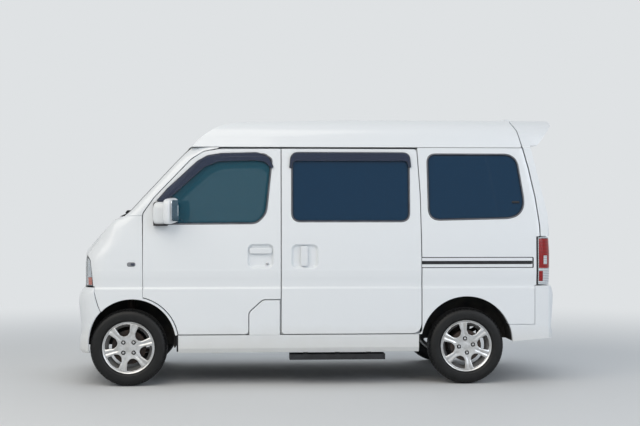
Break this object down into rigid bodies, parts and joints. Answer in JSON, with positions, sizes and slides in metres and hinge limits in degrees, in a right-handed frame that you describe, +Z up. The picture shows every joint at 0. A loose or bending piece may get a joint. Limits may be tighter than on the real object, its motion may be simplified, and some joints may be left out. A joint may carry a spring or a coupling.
{
  "type": "kei van",
  "caption": "Small cab-over panel van with a high roof, sliding side doors, a tailgate and front doors that swing, on road wheels.",
  "frame": {"origin": "on the ground, midway between the foremost and rearmost points, on the centre plane", "axes": "+X forward, +Y to the van's left, +Z up"},
  "size_m": [3.395, 1.78, 1.872],
  "materials": {
    "body_paint": "gloss white enamel",
    "bumper_paint": "painted moulding",
    "underbody_paint": "satin underbody coat",
    "clear_glass": "light green tint",
    "dark_glass": "dark privacy tint",
    "smoked_acrylic": "smoked, see-through",
    "black_trim": "fine grain",
    "lamp_lens": "clear lens",
    "tail_lens": "red lens",
    "interior_plastic": "grained",
    "seat_cloth": "woven",
    "cast_parts": "cast and painted",
    "chassis_steel": "satin black",
    "rubber": "black rubber",
    "alloy": "silver lacquer"
  },
  "bodies": {
    "body": {"floor_pan": "underbody_paint", "side_left": "body_paint", "side_right": "body_paint", "roof": "body_paint", "windscreen": "clear_glass", "cowl": "black_trim", "front_wipers": "black_trim", "front_panel": "body_paint", "headlamps": "lamp_lens", "grille": "black_trim", "front_bumper": "bumper_paint", "rear_bumper": "bumper_paint", "tail_lamps": "tail_lens", "quarter_glass": "dark_glass", "sills": "bumper_paint", "side_step": "black_trim", "slide_door_left": "body_paint", "slide_door_right": "body_paint", "slide_glass": "dark_glass", "rail_covers": "black_trim", "side_visors": "smoked_acrylic", "dashboard": "interior_plastic", "steering_column": "interior_plastic", "front_seats": "seat_cloth", "rear_seat": "seat_cloth", "engine": "cast_parts", "fuel_tank": "chassis_steel", "exhaust": "chassis_steel", "rear_axle": "cast_parts", "propshaft": "chassis_steel", "front_suspension": "cast_parts"},
    "steering_wheel": {"steering_wheel": "interior_plastic"},
    "door_left": {"door_left": "body_paint", "door_glass_left": "clear_glass", "door_visor_left": "smoked_acrylic", "door_mirror_left": "bumper_paint"},
    "door_right": {"door_right": "body_paint", "door_glass_right": "clear_glass", "door_visor_right": "smoked_acrylic", "door_mirror_right": "bumper_paint"},
    "bonnet": {"bonnet": "body_paint"},
    "tailgate": {"tailgate": "body_paint", "tailgate_glass": "dark_glass", "spoiler": "bumper_paint", "rear_wiper": "black_trim"},
    "knuckle_left": {"knuckle_left": "cast_parts"},
    "knuckle_right": {"knuckle_right": "cast_parts"},
    "wheel_front_left": {"wheel_front_left": "alloy", "tyre_front_left": "rubber"},
    "wheel_front_right": {"wheel_front_right": "alloy", "tyre_front_right": "rubber"},
    "wheel_rear_left": {"wheel_rear_left": "alloy", "tyre_rear_left": "rubber"},
    "wheel_rear_right": {"wheel_rear_right": "alloy", "tyre_rear_right": "rubber"}
  },
  "joints": [
    {"name": "steer_left", "type": "hinge", "parent": "body", "child": "knuckle_left", "pos_m": [1.312, 0.6, 0.175], "axis": [0, -0.2506, 0.9681], "range_deg": [-30, 30]},
    {"name": "steer_right", "type": "hinge", "parent": "body", "child": "knuckle_right", "pos_m": [1.312, -0.6, 0.175], "axis": [0, 0.2506, 0.9681], "range_deg": [-31, 31]},
    {"name": "steering_wheel_turn", "type": "hinge", "parent": "body", "child": "steering_wheel", "pos_m": [0.9, -0.34, 1.04], "axis": [-0.6428, 0, 0.766], "range_deg": [-485, 485]},
    {"name": "front_left_spin", "type": "hinge", "parent": "knuckle_left", "child": "wheel_front_left", "pos_m": [1.312, 0.645, 0.266], "axis": [0, 1, 0], "continuous": true},
    {"name": "front_right_spin", "type": "hinge", "parent": "knuckle_right", "child": "wheel_front_right", "pos_m": [1.312, -0.645, 0.266], "axis": [0, 1, 0], "continuous": true},
    {"name": "rear_left_spin", "type": "hinge", "parent": "body", "child": "wheel_rear_left", "pos_m": [-1.038, 0.645, 0.266], "axis": [0, 1, 0], "continuous": true},
    {"name": "rear_right_spin", "type": "hinge", "parent": "body", "child": "wheel_rear_right", "pos_m": [-1.038, -0.645, 0.266], "axis": [0, 1, 0], "continuous": true},
    {"name": "door_left_hinge", "type": "hinge", "parent": "body", "child": "door_left", "pos_m": [1.202, 0.7285, 0.7225], "axis": [0, 0, -1], "range_deg": [0, 65]},
    {"name": "door_right_hinge", "type": "hinge", "parent": "body", "child": "door_right", "pos_m": [1.202, -0.7285, 0.7225], "axis": [0, 0, 1], "range_deg": [0, 65]},
    {"name": "bonnet_hinge", "type": "hinge", "parent": "body", "child": "bonnet", "pos_m": [1.455, 0, 1.14325], "axis": [0, -1, 0], "range_deg": [0, 50]},
    {"name": "tailgate_hinge", "type": "hinge", "parent": "body", "child": "tailgate", "pos_m": [-1.372, 0, 1.865], "axis": [0, 1, 0], "range_deg": [0, 85]}
  ],
  "couplings": [
    {"joint": "steer_right", "follows": "steer_left", "ratio": 1},
    {"joint": "steering_wheel_turn", "follows": "steer_left", "ratio": 16}
  ]
}
